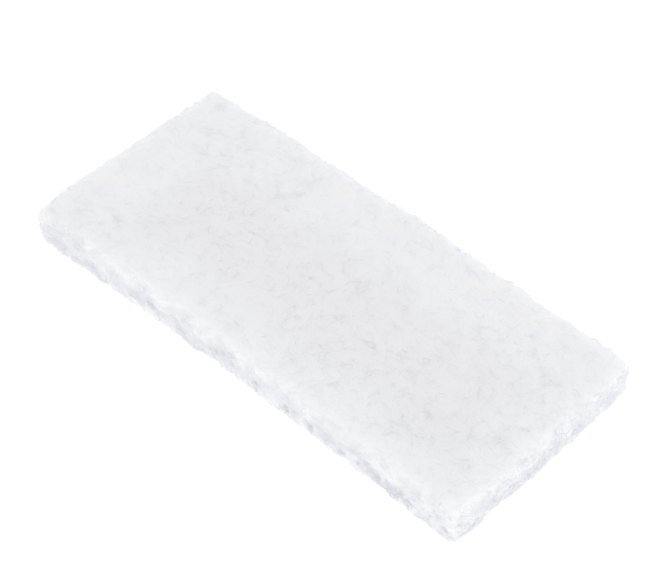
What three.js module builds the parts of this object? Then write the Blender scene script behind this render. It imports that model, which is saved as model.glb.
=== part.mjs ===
import * as THREE from 'three';
import { mergeVertices } from 'three/addons/utils/BufferGeometryUtils.js';
import { ImprovedNoise } from 'three/addons/math/ImprovedNoise.js';

// A rectangular scouring pad, cut from a thick sheet of non-woven nylon web. Lengths are in millimetres.
// It lies flat on its broad face, with its length along X and its thickness along Z.

// The cut block.
const length = 255;
const width = 114;
const thickness = 19;

// The springy web rounds off where it is cut. The long side at -Y was pressed down most.
const nearRimRadius = 4;
const farRimRadius = 2;
const footRadius = 1.5;

// Corners seen from above. The two at the -X end are softer.
const softCornerRadius = 3;
const crispCornerRadius = 1.5;

// The pad is a little out of true: both long sides bend towards +Y and the ends swell.
const sideBow = 2.5;
const endSwell = 0.7;

// The ragged cut: coarse bites, and finer nibbles between them. The unevenness fades out over raggedReach.
const biteDepth = 1.1;
const biteSpan = 13;
const nibbleDepth = 0.8;
const nibbleSpan = 5.5;
const raggedReach = 9;

// The top face is never quite level: broad hills, and tufts of fibre on them.
const hillHeight = 0.8;
const hillSpan = 47;
const tuftHeight = 0.4;
const tuftSpan = 9;

// Each side and each kind of unevenness reads the noise in a lane of its own.
const lanes = { endPlusX: 1.5, endMinusX: 4.5, sidePlusY: 7.5, sideMinusY: 10.5, hills: 13.5, tufts: 16.5 };

// Rows of the surface grid, and how far they crowd towards the edges, from 0 to 1.
const rowsAlong = 66;
const rowsAcross = 30;
const rowsUp = 6;
const edgeCrowding = 0.45;

const { clamp, lerp, smoothstep } = THREE.MathUtils;
const noise = new ImprovedNoise();

function crowdTowardsEdge(value, half) {
  const share = value / half;
  return half * lerp(share, Math.sin(share * Math.PI / 2), edgeCrowding);
}

// The top rim's radius, largest along the side at -Y.
function topRimAt(y) {
  const share = smoothstep(-y, 0, width / 2);
  return Math.min(lerp(farRimRadius, nearRimRadius, share), thickness / 2);
}

// Moves a point from the block's square edge on to the quarter circle inside it, top or foot.
function roundRim(point) {
  const rim = point.z > 0 ? topRimAt(point.y) : Math.min(footRadius, thickness / 2);
  const inset = Math.min(length / 2 - Math.abs(point.x), width / 2 - Math.abs(point.y));
  const drop = thickness / 2 - Math.abs(point.z);
  if (inset >= rim || drop >= rim) return;
  const pull = rim / Math.hypot(rim - inset, rim - drop);
  const newInset = rim - (rim - inset) * pull;
  const newDrop = rim - (rim - drop) * pull;
  point.x *= (length / 2 - newInset) / (length / 2 - inset);
  point.y *= (width / 2 - newInset) / (width / 2 - inset);
  point.z = Math.sign(point.z) * (thickness / 2 - newDrop);
}

// Rounds the upright edge at each corner.
function roundCorner(point) {
  const wanted = point.x < 0 ? softCornerRadius : crispCornerRadius;
  const radius = Math.min(wanted, width / 2, length / 2);
  const pastX = Math.abs(point.x) - (length / 2 - radius);
  const pastY = Math.abs(point.y) - (width / 2 - radius);
  if (pastX <= 0 || pastY <= 0) return;
  const pull = Math.max(pastX, pastY) / Math.hypot(pastX, pastY);
  point.x = Math.sign(point.x) * (length / 2 - radius + pastX * pull);
  point.y = Math.sign(point.y) * (width / 2 - radius + pastY * pull);
}

// How far the cut wanders outwards at a place along a side.
function raggedness(along, up, lane) {
  const bites = noise.noise(along / biteSpan, up / biteSpan, lane);
  const nibbles = noise.noise(along / nibbleSpan, up / nibbleSpan, lane);
  return biteDepth * bites + nibbleDepth * nibbles;
}

function roughenSides(point) {
  const { x, y, z } = point;
  const endShare = smoothstep(Math.abs(x), length / 2 - raggedReach, length / 2);
  const sideShare = smoothstep(Math.abs(y), width / 2 - raggedReach, width / 2);
  const endLane = x > 0 ? lanes.endPlusX : lanes.endMinusX;
  const sideLane = y > 0 ? lanes.sidePlusY : lanes.sideMinusY;
  point.x += Math.sign(x) * endShare * raggedness(y, z, endLane);
  point.y += Math.sign(y) * sideShare * raggedness(x, z, sideLane);
}

function bendOutOfTrue(point) {
  const shareX = point.x / (length / 2);
  const shareY = clamp(point.y / (width / 2), -1, 1);
  point.x += shareX * endSwell * (1 - shareY * shareY);
  point.y += sideBow * (1 - shareX * shareX);
}

// Lifts and lowers the upper half of the pad. The face it lies on stays flat.
function raiseHills(point) {
  const hills = hillHeight * noise.noise(point.x / hillSpan, point.y / hillSpan, lanes.hills);
  const tufts = tuftHeight * noise.noise(point.x / tuftSpan, point.y / tuftSpan, lanes.tufts);
  const share = smoothstep(point.z, 0, thickness / 2);
  point.z += share * (hills + tufts);
}

function makePadGeometry() {
  const geometry = new THREE.BoxGeometry(length, width, thickness, rowsAlong, rowsAcross, rowsUp);
  const positions = geometry.attributes.position;
  const point = new THREE.Vector3();
  for (let i = 0; i < positions.count; i++) {
    point.fromBufferAttribute(positions, i);
    point.x = crowdTowardsEdge(point.x, length / 2);
    point.y = crowdTowardsEdge(point.y, width / 2);
    point.z = crowdTowardsEdge(point.z, thickness / 2);
    roundRim(point);
    roundCorner(point);
    roughenSides(point);
    raiseHills(point);
    bendOutOfTrue(point);
    positions.setXYZ(i, point.x, point.y, point.z);
  }
  geometry.deleteAttribute('normal');
  geometry.deleteAttribute('uv');
  return mergeVertices(geometry, 1e-4);
}

// Puts the origin under the middle of the pad, on the surface it lies on.
function standOnOrigin(geometry) {
  geometry.computeBoundingBox();
  const middle = geometry.boundingBox.getCenter(new THREE.Vector3());
  geometry.translate(-middle.x, -middle.y, -geometry.boundingBox.min.z);
  geometry.computeVertexNormals();
  return geometry;
}

const nylonWeb = new THREE.MeshStandardMaterial({ color: '#eef0f2', roughness: 0.85, metalness: 0 });

const pad = new THREE.Mesh(standOnOrigin(makePadGeometry()), nylonWeb);
pad.name = 'pad';

const scouringPad = new THREE.Group();
scouringPad.add(pad);

export default scouringPad;
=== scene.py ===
import math
import bpy
import numpy as np
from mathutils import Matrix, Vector, noise
from mathutils.bvhtree import BVHTree


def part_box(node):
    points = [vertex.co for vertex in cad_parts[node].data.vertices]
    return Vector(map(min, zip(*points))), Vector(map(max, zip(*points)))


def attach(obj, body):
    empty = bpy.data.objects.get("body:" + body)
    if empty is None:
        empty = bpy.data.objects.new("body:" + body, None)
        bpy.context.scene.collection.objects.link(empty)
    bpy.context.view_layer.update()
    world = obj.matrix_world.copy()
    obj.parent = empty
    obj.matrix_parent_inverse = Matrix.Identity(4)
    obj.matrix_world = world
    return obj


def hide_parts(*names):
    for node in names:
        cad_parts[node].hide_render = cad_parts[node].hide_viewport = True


# A white scouring pad of non-woven nylon web: a soft body, and the single crimped fibres that stand out.
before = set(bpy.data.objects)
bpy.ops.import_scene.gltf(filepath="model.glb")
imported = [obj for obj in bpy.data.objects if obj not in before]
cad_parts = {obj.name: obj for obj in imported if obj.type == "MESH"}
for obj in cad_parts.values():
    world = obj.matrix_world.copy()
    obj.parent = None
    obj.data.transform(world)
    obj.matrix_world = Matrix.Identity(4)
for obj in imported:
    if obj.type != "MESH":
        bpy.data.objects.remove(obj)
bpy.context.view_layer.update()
padName = "pad"
mm = 0.001


# Camera

cameraSetup = {
    "azimuth": 43.6,            # degrees round the pad, from the side at -Y
    "elevation": 46.9,          # degrees above the floor
    "distance": 0.952,          # metres
    "lens": 115.2,              # mm
    "sensor": 36.0,             # mm
    "nearest": 0.01,            # metres
    "aim": (-0.0020, 0.0068, 0.0069),
}


def makeCamera(setup):
    azimuth = math.radians(setup["azimuth"])
    elevation = math.radians(setup["elevation"])
    back = Vector((math.sin(azimuth) * math.cos(elevation),
                   -math.cos(azimuth) * math.cos(elevation),
                   math.sin(elevation)))
    data = bpy.data.cameras.new("camera")
    data.lens = setup["lens"]
    data.sensor_width = setup["sensor"]
    data.clip_start = setup["nearest"]
    camera = bpy.data.objects.new("camera", data)
    camera.location = Vector(setup["aim"]) + back * setup["distance"]
    camera.rotation_euler = back.to_track_quat("Z", "Y").to_euler()
    bpy.context.collection.objects.link(camera)
    bpy.context.scene.camera = camera


makeCamera(cameraSetup)
print("camera: ready")


# Colours and nodes

def hexToLinear(code):
    parts = [int(code[i:i + 2], 16) / 255 for i in (1, 3, 5)]
    return [p / 12.92 if p <= 0.04045 else ((p + 0.055) / 1.055) ** 2.4 for p in parts] + [1.0]


def addNode(tree, kind, settings=None, inputs=None):
    # inputs: a socket from another node is linked, anything else is set as the value
    node = tree.nodes.new(kind)
    for name, value in (settings or {}).items():
        setattr(node, name, value)
    for name, value in (inputs or {}).items():
        if isinstance(value, bpy.types.NodeSocket):
            tree.links.new(value, node.inputs[name])
        else:
            node.inputs[name].default_value = value
    return node


def newMaterial(name):
    material = bpy.data.materials.new(name)
    material.use_nodes = True
    material.node_tree.nodes.clear()
    return material, material.node_tree


def mixColours(tree, share, first, second):
    # first and second: a colour's socket, or its hex code
    sides = {6: first, 7: second}
    values = {i: hexToLinear(c) if isinstance(c, str) else c for i, c in sides.items()}
    return addNode(tree, "ShaderNodeMix", {"data_type": "RGBA"}, {"Factor": share, **values}).outputs[2]


def bendPlace(tree, place, size, amount):
    # moves the place about in soft waves of that size, both in mm
    wave = addNode(tree, "ShaderNodeTexNoise", None,
                   {"Vector": place, "Scale": 1 / (size * mm), "Detail": 2.0})
    centred = addNode(tree, "ShaderNodeVectorMath", {"operation": "SUBTRACT"},
                      {0: wave.outputs["Color"], 1: (0.5, 0.5, 0.5)})
    shift = addNode(tree, "ShaderNodeVectorMath", {"operation": "SCALE"},
                    {0: centred.outputs[0], "Scale": amount * mm * 2})
    moved = addNode(tree, "ShaderNodeVectorMath", {"operation": "ADD"}, {0: place, 1: shift.outputs[0]})
    return moved.outputs[0]


# Non-woven nylon 6.6 web, laid by air and sprayed with resin: a tangle of white strands and shaded gaps.
# Light goes deep into it, so shadows are soft and the thin rims are the brightest part.
webLook = {
    "strand": "#f8fbfd",
    "gap": "#f5f9fb",
    "strandSpacings": (3.4, 2.1, 1.3),   # mm; the real web has several a mm, drawn coarser so that they show
    "strandWidth": 0.16,                 # share of the spacing
    "crimpSize": 2.6,                    # mm
    "crimpAmount": 1.1,                  # mm
    "cloudSize": 34.0,                   # mm, where the web is thicker or thinner
    "cloudRange": (0.3, 0.7),            # the part of the cloud's values that is used
    "cloudCover": (0.55, 0.85),          # share of strand colour where the web is thin and where it is thick
    "cut": "#f5f7fa",                    # painted shade on the cut sides, for the shadowed gaps between the ends
    "pitShade": "#e3e4e6",                   # painted shade at the bottom of the places that are pulled open
    "bumpDepth": 0.03,                   # mm
    "roughness": 0.62,
    "ior": 1.53,
    "lightDepth": 4.5,                   # mm
}


# Painted light and shade: the colour is a little darker in the middle of the sheet and lighter towards the
# cut edges.
paintedEdgeLight = {
    "shadedMiddle": "#efeff1",
    "middle": (9.0, -7.0),   # mm, where the darkest part is centred
    "reach": 40.0,           # mm from the edge to where the darker middle starts
    "rim": 2.0,              # mm from the edge to where it is at its lightest
    "wander": 9.0,           # mm, so that the change follows no straight line
    "wanderSize": 30.0,      # mm
}


def paintEdgeLight(tree, place, colour, setup):
    # painted light: lighter towards the cut edges, with painted shade in the middle of the sheet
    low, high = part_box(padName)
    moved = bendPlace(tree, place, setup["wanderSize"], setup["wander"])
    axes = addNode(tree, "ShaderNodeSeparateXYZ", None, {"Vector": moved})
    # share of the painted edge light, 1 at the cut edges
    openness = []
    for k, axis in enumerate("XY"):
        half = (high[k] - low[k]) / 2
        fromMiddle = addNode(tree, "ShaderNodeMath", {"operation": "SUBTRACT"},
                             {0: axes.outputs[axis], 1: setup["middle"][k] * mm})
        away = addNode(tree, "ShaderNodeMath", {"operation": "ABSOLUTE"}, {0: fromMiddle.outputs[0]})
        share = addNode(tree, "ShaderNodeMapRange", None,
                        {"Value": away.outputs[0], "From Min": half - setup["reach"] * mm,
                         "From Max": half - setup["rim"] * mm, "To Min": 0.0, "To Max": 1.0})
        openness.append(share.outputs["Result"])
    either = addNode(tree, "ShaderNodeMath", {"operation": "MAXIMUM"}, {0: openness[0], 1: openness[1]})
    return mixColours(tree, either.outputs[0], setup["shadedMiddle"], colour)


def makeWebMaterial(look):
    material, tree = newMaterial("nylonWebAirlaidResinBonded")
    place = addNode(tree, "ShaderNodeTexCoord").outputs["Object"]
    bent = bendPlace(tree, place, look["crimpSize"], look["crimpAmount"])
    strands = None
    for spacing in look["strandSpacings"]:
        cells = addNode(tree, "ShaderNodeTexVoronoi", {"feature": "DISTANCE_TO_EDGE"},
                        {"Vector": bent, "Scale": 1 / (spacing * mm)})
        layer = addNode(tree, "ShaderNodeMapRange", {"interpolation_type": "SMOOTHSTEP"},
                        {"Value": cells.outputs["Distance"], "From Min": 0.0, "From Max": look["strandWidth"],
                         "To Min": 1.0, "To Max": 0.0}).outputs["Result"]
        if strands is None:
            strands = layer
        else:
            both = addNode(tree, "ShaderNodeMath", {"operation": "MAXIMUM"}, {0: strands, 1: layer})
            strands = both.outputs[0]
    cloud = addNode(tree, "ShaderNodeTexNoise", None,
                    {"Vector": place, "Scale": 1 / (look["cloudSize"] * mm), "Detail": 3.0})
    thin, thick = look["cloudRange"]
    lowest, highest = look["cloudCover"]
    density = addNode(tree, "ShaderNodeMapRange", None,
                      {"Value": cloud.outputs["Fac"], "From Min": thin, "From Max": thick,
                       "To Min": lowest, "To Max": highest})
    cover = addNode(tree, "ShaderNodeMath", {"operation": "MAXIMUM"},
                    {0: density.outputs["Result"], 1: strands})
    colour = mixColours(tree, cover.outputs[0], look["gap"], look["strand"])
    # painted edge light: darker in the middle, lighter towards the cut edges
    tone = paintEdgeLight(tree, place, colour, paintedEdgeLight)
    # painted shade: the cut sides and the pulled-open places are made darker
    for name in ("cut", "pitShade"):
        share = addNode(tree, "ShaderNodeAttribute", {"attribute_name": name})
        tone = mixColours(tree, share.outputs["Fac"], tone, look[name])
    bump = addNode(tree, "ShaderNodeBump", None,
                   {"Height": strands, "Strength": 1.0, "Distance": look["bumpDepth"] * mm})
    shader = addNode(tree, "ShaderNodeBsdfPrincipled", None,
                     {"Base Color": tone, "Roughness": look["roughness"], "IOR": look["ior"],
                      "Subsurface Weight": 1.0, "Subsurface Radius": (1.0, 1.0, 1.0),
                      "Subsurface Scale": look["lightDepth"] * mm, "Normal": bump.outputs[0]})
    addNode(tree, "ShaderNodeOutputMaterial", None, {"Surface": shader.outputs[0]})
    return material


# Nylon 6.6 filament, drawn and crimped: clear-white, smooth along its length, with a soft gloss.
fibreLook = {
    "name": "nylonFilamentDrawnCrimped",
    "fibre": "#f8fbfd",
    "resin": "#f5f9fb",
    "resinSize": 5.0,      # mm between beads of resin
    "roughness": 0.42,
    "ior": 1.53,
}


# The same filament where it was cut through: blunt ends and crushed lengths, rougher, and a little darker as
# painted shade on the cut sides.
shadedCutFibreLook = dict(fibreLook, name="nylonFilamentDieCutShaded", fibre="#f4f6f9", resin="#f1f3f6", roughness=0.55)


def makeFibreMaterial(look):
    material, tree = newMaterial(look["name"])
    place = addNode(tree, "ShaderNodeTexCoord").outputs["Object"]
    beads = addNode(tree, "ShaderNodeTexNoise", None,
                    {"Vector": place, "Scale": 1 / (look["resinSize"] * mm)})
    colour = mixColours(tree, beads.outputs["Fac"], look["fibre"], look["resin"])
    # the same painted edge light as on the web
    tone = paintEdgeLight(tree, place, colour, paintedEdgeLight)
    shader = addNode(tree, "ShaderNodeBsdfPrincipled", None,
                     {"Base Color": tone, "Roughness": look["roughness"], "IOR": look["ior"]})
    addNode(tree, "ShaderNodeOutputMaterial", None, {"Surface": shader.outputs[0]})
    return material


webMaterial = makeWebMaterial(webLook)
fibreMaterial = makeFibreMaterial(fibreLook)
shadedCutFibreMaterial = makeFibreMaterial(shadedCutFibreLook)
print("materials: ready")


# The body of the pad

body = {
    "grid": 0.9,                  # mm between the surface's points
    "smoothing": 4,               # passes, each half way to the neighbours' middle
    "lumpSize": 9.0,              # mm
    "lumpHeight": 0.15,           # mm
    "seed": 11,
    "grain": 0.03,                # mm, of unevenness from point to point
    "sidePoreSize": 2.3,          # mm
    "sidePoreDepth": 0.45,        # mm
    "facePoreSize": 2.3,          # mm
    "facePoreDepth": 0.06,        # mm
    "poreBend": 1.2,              # how far the pores are bent out of shape, as a share of their size
    "poreBendStep": 0.7,          # how quickly the bend changes, where 1 is once a pore
    "poreRim": 0.55,              # how much nearer one pore has to be than the next for its full depth
    "openSize": 19.0,             # mm, from where the pores are open to where they are closed
    "openShift": (7, 3, 1),       # where in the noise that pattern is read
    "faceTurn": (0.6, 0.97),      # upward part of the normal, from wholly cut side to wholly broad face
    "tufts": ((6.5, 0.9), (3.0, 0.6), (1.8, 0.7)),   # mm: size and height of the cut sides' frayed bunches
    "calm": 0.7,                  # how much the relief fades half way up the cut sides
    "fullyShadedDepth": 2.4,             # mm pulled in, where the colour is wholly the painted pit shade
}
# Places in mm where the web is pulled open: x, y, z, depth and radius.
pits = [(-6.5, -2.3, 19, 1.1, 0.9), (14.7, -7.9, 19, 0.6, 1.3), (5.8, -23.7, 19, 0.5, 1.1),
        (41.5, -13.7, 19, 0.9, 0.8), (62.2, -23.6, 19, 0.9, 0.8), (29.7, 57.7, 19, 1.8, 2.6)]
pulls = [(95.5, -56, 5.3, 3.2, 1.2), (91.0, -56, 4.7, 2.8, 1.1), (102.0, -56, 6.5, 2.6, 1.0),
         (98.5, -56, 8.6, 1.6, 0.9), (84.0, -56, 5.6, 1.8, 1.1), (63.0, -56, 4.0, 2.4, 1.4),
         (30.0, -56, 6.0, 2.0, 1.1), (12.0, -56, 7.0, 2.2, 1.2), (-12.0, -56, 9.0, 1.6, 1.0),
         (-54.0, -56, 8.0, 2.2, 1.2), (-101.0, -56, 2.6, 2.0, 1.1)]
# More of them here and there in the cut sides.
openSides = {
    "seed": 12, "count": 160,
    "depth": (0.4, 1.5),     # mm
    "radius": (0.6, 1.1),    # mm
    "highest": 0.4,          # share of the thickness
}


def meshOf(thing):
    # the object's final mesh, modifiers included, as a new mesh
    graph = bpy.context.evaluated_depsgraph_get()
    return bpy.data.meshes.new_from_object(thing.evaluated_get(graph))


def makeShell(size):
    # an even, smooth copy of the CAD pad, which the fibres are laid on
    shell = bpy.data.objects.new("shell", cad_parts[padName].data.copy())
    bpy.context.collection.objects.link(shell)
    remesh = shell.modifiers.new("remesh", "REMESH")
    remesh.mode = "VOXEL"
    remesh.voxel_size = size["grid"] * mm
    smooth = shell.modifiers.new("smooth", "SMOOTH")
    smooth.factor = 0.5
    smooth.iterations = size["smoothing"]
    mesh = meshOf(shell)
    bpy.data.objects.remove(shell)
    return mesh


def readPoints(mesh):
    points = np.empty(len(mesh.vertices) * 3)
    normals = np.empty(len(mesh.vertices) * 3)
    mesh.vertices.foreach_get("co", points)
    mesh.vertex_normals.foreach_get("vector", normals)
    return points.reshape(-1, 3), normals.reshape(-1, 3)


def poreDepth(place, poreSize, size):
    # 0 on the strands between two pores, 1 in the middle of a pore
    bent = place / (poreSize * mm)
    bent = bent + size["poreBend"] * noise.noise_vector(bent * size["poreBendStep"])
    near, second = noise.voronoi(bent)[0][:2]
    return min(1.0, max(0.0, (second - near) / size["poreRim"]))


def smoothShare(value, low, high):
    share = min(1.0, max(0.0, (value - low) / (high - low)))
    return share * share * (3 - 2 * share)


def writePoints(mesh, points):
    points[:, 2] = np.maximum(points[:, 2], 0.0)
    mesh.vertices.foreach_set("co", points.ravel())
    mesh.update()


def raiseLumps(mesh, size):
    points, normals = readPoints(mesh)
    for i, point in enumerate(points):
        lump = noise.noise(Vector(point) / (size["lumpSize"] * mm))
        points[i] += normals[i] * mm * size["lumpHeight"] * lump
    writePoints(mesh, points)


def findOpenPlaces(size):
    rng = np.random.default_rng(size["seed"])
    places = [(shellTree.find_nearest(Vector((x, y, z)) * mm)[0], depth, radius)
              for x, y, z, depth, radius in pits + pulls]
    height = shellPoints[:, 2].max()
    below = [i for i in facing("side") if shellPoints[i, 2] < size["highest"] * height]
    for i in rng.choice(below, size["count"]):
        places.append((Vector(shellPoints[i]), rng.uniform(*size["depth"]), rng.uniform(*size["radius"])))
    return places


def pulledOpen(points, places):
    # how deep in mm the web is pulled open at each point
    total = np.zeros(len(points))
    for centre, depth, radius in places:
        away = ((points - np.array(centre)) ** 2).sum(axis=1) / (radius * mm) ** 2
        total += depth * np.exp(-away)
    return total


def openPores(mesh, size):
    points, normals = readPoints(mesh)
    # without this seed noise_vector follows the clock
    noise.seed_set(size["seed"])
    rng = np.random.default_rng(size["seed"])
    grain = rng.normal(0.0, size["grain"], len(points))
    pulled = pulledOpen(points, openPlaces)
    height = points[:, 2].max()
    cut = np.zeros(len(points))
    for i, (point, normal) in enumerate(zip(points, normals)):
        place = Vector(point)
        cut[i] = 1.0 - smoothShare(abs(normal[2]), *size["faceTurn"])
        relief = cut[i] * (1 - size["calm"] * math.sin(math.pi * min(1.0, point[2] / height)))
        openness = 0.5 + 0.5 * noise.noise(place / (size["openSize"] * mm) + Vector(size["openShift"]))
        face = size["facePoreDepth"] * poreDepth(place, size["facePoreSize"], size)
        side = size["sidePoreDepth"] * poreDepth(place, size["sidePoreSize"], size)
        tufts = sum(high * noise.noise(place / (wide * mm)) for wide, high in size["tufts"])
        out = relief * tufts + grain[i] - openness * (face * (1 - cut[i]) + side * relief)
        points[i] += normal * (out - pulled[i]) * mm
    writePoints(mesh, points)
    # these attributes paint shade: darker on the cut sides and at the bottom of the pulled-open places
    for name, share in (("cut", cut), ("pitShade", np.clip(pulled / size["fullyShadedDepth"], 0, 1))):
        mesh.attributes.new(name, "FLOAT", "POINT").data.foreach_set("value", share)


def addPiece(name, mesh, material, smooth):
    mesh.materials.clear()
    mesh.materials.append(material)
    if smooth:
        mesh.shade_smooth()
    piece = bpy.data.objects.new(name, mesh)
    bpy.context.collection.objects.link(piece)
    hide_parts(padName)
    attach(piece, "root")
    return piece


shellMesh = makeShell(body)
raiseLumps(shellMesh, body)
shellTree = BVHTree.FromPolygons([v.co.copy() for v in shellMesh.vertices],
                                 [tuple(p.vertices) for p in shellMesh.polygons])
shellPoints, shellNormals = readPoints(shellMesh)
print("shell:", len(shellMesh.polygons), "faces")


# Where each kind of fibre starts: limits to the upward part of the shell's normal.
facingLimits = {
    "top": 0.75,        # at least
    "under": -0.8,      # at most
    "side": 0.8,        # at most, up or down
    "cut": 0.55,        # the same
    "clear": 1.2,       # mm above the floor, for the side and cut kinds
}


def facing(kind):
    # the shell's points that a kind of fibre may start from
    up = shellNormals[:, 2]
    limit = facingLimits[kind]
    if kind == "top":
        chosen = up > limit
    elif kind == "under":
        chosen = up < limit
    else:
        chosen = (np.abs(up) <= limit) & (shellPoints[:, 2] >= facingLimits["clear"] * mm)
    return chosen.nonzero()[0]


openPlaces = findOpenPlaces(openSides)

webMesh = shellMesh.copy()
openPores(webMesh, body)
web = addPiece("padWeb", webMesh, webMaterial, smooth=True)
print("web: ready")


# Single fibres

topFibres = {
    "seed": 21, "count": 950, "steps": 22,
    "step": 1.4, "diameter": 0.14,   # mm
    "turn": 14.0,             # degrees a step, about twice what most fibres keep turning by
    "crimp": 24.0,            # degrees a step, of the crimp's waves
    "crimpWave": (1.5, 3.2),  # radians of such a wave in a step
    "low": -0.2, "high": 0.0,   # mm from the shell's surface
    "diveWave": (0.35, 0.9),  # radians in a step, of the slow wave between low and high
    "lean": 1.0,              # 1: headings all round; under 1: flatter to the layers
    "upright": 0.5,           # upward part of the normal, under which a face counts as upright
    "settle": 0.8,            # how much of its slope a fibre on an upright face keeps at each step
}
underFibres = dict(topFibres, seed=22, count=900, low=-0.6, high=0.15)
sideFibres = dict(topFibres, seed=23, count=1450, low=-1.3, high=1.0, lean=0.35, diameter=0.2)
cutEnds = {
    "seed": 24, "count": 5200, "steps": 3,
    "step": 0.75, "diameter": 0.17,   # mm
    "start": -0.9,            # mm from the shell's surface, where an end is rooted
    "spread": 0.9,            # how far the ends lean away from straight out
    "leaning": (0.1, 1.0),    # share of the spread that an end has
    "curl": 0.45,
    "shortest": 0.55,         # share of the longest
}
strayEnds = dict(cutEnds, seed=26, count=800, steps=5, diameter=0.2, spread=1.5)


def layFibre(rng, start, normal, size):
    # walks over the shell, turning as a crimped fibre does, and dips in and out of the web
    across = normal.orthogonal().normalized()
    other = normal.cross(across)
    angle = rng.uniform(0, 2 * math.pi)
    heading = across * math.cos(angle) + other * math.sin(angle)
    heading.z *= size["lean"]
    heading.normalize()
    turn = math.radians(rng.normal(0, size["turn"] / 2))
    crimp = math.radians(size["crimp"])
    wave, phase = rng.uniform(*size["crimpWave"]), rng.uniform(0, 2 * math.pi)
    dive, divePhase = rng.uniform(*size["diveWave"]), rng.uniform(0, 2 * math.pi)
    middle = (size["high"] + size["low"]) / 2
    reach = (size["high"] - size["low"]) / 2
    place, points, normals = start.copy(), [], []
    for k in range(size["steps"] + 1):
        height = middle + reach * math.sin(divePhase + dive * k)
        points.append(place + normal * height * mm)
        normals.append(normal.copy())
        bend = turn + crimp * math.sin(phase + wave * k)
        heading = heading * math.cos(bend) + normal.cross(heading) * math.sin(bend)
        if size["lean"] < 1 and abs(normal.z) < size["upright"]:
            heading.z *= size["settle"]
        place, normal, _, _ = shellTree.find_nearest(place + heading * size["step"] * mm)
        heading = (heading - normal * heading.dot(normal)).normalized()
    return points, normals


def standEnd(rng, start, normal, size):
    # a short cut end that sticks out
    across = normal.orthogonal().normalized()
    angle = rng.uniform(0, 2 * math.pi)
    sideways = across * math.cos(angle) + normal.cross(across) * math.sin(angle)
    lean = size["spread"] * rng.uniform(*size["leaning"])
    curl = rng.normal(0, size["curl"])
    length = rng.uniform(size["shortest"], 1.0)
    place = start + normal * size["start"] * mm
    points, normals = [], []
    for k in range(size["steps"] + 1):
        points.append(place.copy())
        normals.append(normal.cross(sideways).normalized())
        direction = (normal + sideways * (lean + curl * k)).normalized()
        place = place + direction * size["step"] * length * mm
    return points, normals


tube = {
    "sides": 3,
    "ends": 0.55,   # width of a fibre's ends against its middle
}


def makeTubes(name, paths, frames, diameter, material):
    # paths and frames: arrays of fibre, point, xyz; frames holds a direction across each point
    sides = tube["sides"]
    paths, frames = np.array(paths), np.array(frames)
    count, length = paths.shape[:2]
    paths[:, :, 2] = np.maximum(paths[:, :, 2], diameter / 2 * mm)
    along = np.gradient(paths, axis=1)
    along /= np.linalg.norm(along, axis=2, keepdims=True) + 1e-12
    across = np.cross(along, frames)
    across /= np.linalg.norm(across, axis=2, keepdims=True) + 1e-12
    other = np.cross(along, across)
    taper = np.ones(length)
    taper[[0, -1]] = tube["ends"]
    rings = []
    for s in range(sides):
        angle = 2 * math.pi * s / sides
        ring = across * math.cos(angle) + other * math.sin(angle)
        rings.append(paths + ring * taper[None, :, None] * diameter / 2 * mm)
    points = np.stack(rings, axis=2).reshape(-1, 3)
    base = (np.arange(count)[:, None] * length + np.arange(length - 1)[None, :]).ravel() * sides
    faces = []
    for s in range(sides):
        t = (s + 1) % sides
        faces += np.stack([base + s, base + t, base + sides + t, base + sides + s], axis=1).tolist()
    first = np.arange(count) * length * sides
    last = first + (length - 1) * sides
    faces += (first[:, None] + np.arange(sides)[None, ::-1]).tolist()
    faces += (last[:, None] + np.arange(sides)[None, :]).tolist()
    mesh = bpy.data.meshes.new(name)
    mesh.from_pydata(points.tolist(), [], faces)
    addPiece(name, mesh, material, smooth=False)
    print(name + ":", count, "fibres")


# Thicker strands that curl out of the cut in small loops, round the pulled places and elsewhere.
loops = {
    "seed": 25, "count": 150, "perPull": 3, "steps": 14,
    "diameter": 0.26,         # mm
    "scatter": (1.0, 0.8),    # mm from a pulled place, along the side and up it
    "radius": (0.7, 1.6),     # mm
    "squeeze": (0.55, 1.0),   # a loop's width against its length
    "arc": (3.4, 5.6),        # radians, from end to end
    "out": (0.1, 0.7),        # mm in front of the surface
    "rooted": 1.3,            # mm that the ends go back in
    "tilt": 0.5,
}


def makeLoops(name, size):
    rng = np.random.default_rng(size["seed"])
    starts = []
    aside, above = size["scatter"]
    for x, y, z, _, _ in pulls:
        for _ in range(size["perPull"]):
            spot = Vector((x + rng.normal(0, aside), y, z + rng.normal(0, above))) * mm
            starts.append(shellTree.find_nearest(spot)[:2])
    for i in rng.choice(facing("side"), size["count"]):
        starts.append((Vector(shellPoints[i]), Vector(shellNormals[i])))
    paths, frames = [], []
    for start, normal in starts:
        across = normal.orthogonal().normalized()
        other = normal.cross(across)
        radius, first = rng.uniform(*size["radius"]), rng.uniform(0, 2 * math.pi)
        arc, out = rng.uniform(*size["arc"]), rng.uniform(*size["out"])
        tilt, squeeze = rng.uniform(-size["tilt"], size["tilt"]), rng.uniform(*size["squeeze"])
        points = []
        for k in range(size["steps"] + 1):
            turn = first + arc * k / size["steps"]
            ends = 1 - math.sin(math.pi * k / size["steps"])
            lift = out - ends * size["rooted"] + tilt * radius * math.sin(turn)
            points.append(start + (across * math.cos(turn) + other * math.sin(turn) * squeeze) * radius * mm
                          + normal * lift * mm)
        paths.append(points)
        frames.append([normal] * len(points))
    makeTubes(name, paths, frames, size["diameter"], shadedCutFibreMaterial)


def makeFibres(name, kind, size, lay, material):
    rng = np.random.default_rng(size["seed"])
    places = facing(kind)
    paths, frames = [], []
    for i in rng.choice(places, size["count"]):
        points, normals = lay(rng, Vector(shellPoints[i]), Vector(shellNormals[i]), size)
        paths.append(points)
        frames.append(normals)
    makeTubes(name, paths, frames, size["diameter"], material)


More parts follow.
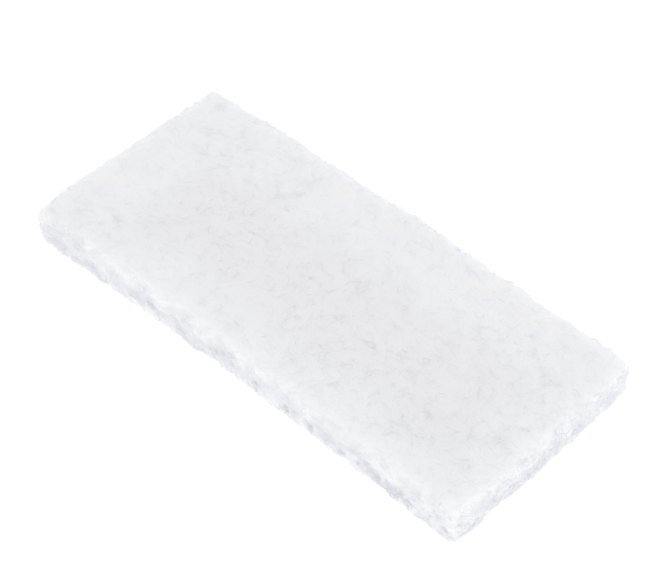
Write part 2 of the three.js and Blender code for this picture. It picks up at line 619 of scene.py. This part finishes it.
makeFibres("padTopFibres", "top", topFibres, layFibre, fibreMaterial)
makeFibres("padUnderFibres", "under", underFibres, layFibre, fibreMaterial)
makeFibres("padSideFibres", "side", sideFibres, layFibre, shadedCutFibreMaterial)
makeFibres("padCutEnds", "cut", cutEnds, standEnd, shadedCutFibreMaterial)
makeFibres("padStrayEnds", "side", strayEnds, standEnd, shadedCutFibreMaterial)
makeLoops("padLoops", loops)


# Floor and light

# White acrylic sheet, lit from below as well as from above: it fills the shadows and lights the cut sides.
studio = {
    "floor": "#f4f4f4",
    "floorSize": 6.0,                  # metres
    "floorRoughness": 0.9,
    "floorGlow": 0.36,
    "sky": "#fefeff",
    "skyStrength": 0.95,
    "keyStrength": 0.5,                # W
    "keySize": 0.9,                    # metres
    "keyPlace": (0.95, -0.25, 0.75),   # metres
}


def makeFloor(setup):
    half = setup["floorSize"] / 2
    mesh = bpy.data.meshes.new("floor")
    corners = [(-half, -half, 0), (half, -half, 0), (half, half, 0), (-half, half, 0)]
    mesh.from_pydata(corners, [], [(0, 1, 2, 3)])
    material, tree = newMaterial("acrylicSheetOpalBacklit")
    shader = addNode(tree, "ShaderNodeBsdfPrincipled", None,
                     {"Base Color": hexToLinear(setup["floor"]), "Roughness": setup["floorRoughness"],
                      "Emission Color": hexToLinear(setup["floor"]), "Emission Strength": setup["floorGlow"]})
    addNode(tree, "ShaderNodeOutputMaterial", None, {"Surface": shader.outputs[0]})
    mesh.materials.append(material)
    floor = bpy.data.objects.new("floor", mesh)
    bpy.context.collection.objects.link(floor)


def makeLight(setup):
    world = bpy.data.worlds.new("studio")
    world.use_nodes = True
    sky = world.node_tree.nodes["Background"]
    sky.inputs["Color"].default_value = hexToLinear(setup["sky"])
    sky.inputs["Strength"].default_value = setup["skyStrength"]
    bpy.context.scene.world = world
    data = bpy.data.lights.new("key", "AREA")
    data.shape = "DISK"
    data.size = setup["keySize"]
    data.energy = setup["keyStrength"]
    key = bpy.data.objects.new("key", data)
    key.location = setup["keyPlace"]
    key.rotation_euler = Vector(setup["keyPlace"]).to_track_quat("Z", "Y").to_euler()
    bpy.context.collection.objects.link(key)


makeFloor(studio)
makeLight(studio)
bpy.context.scene.view_settings.view_transform = "Standard"
print("studio: ready")
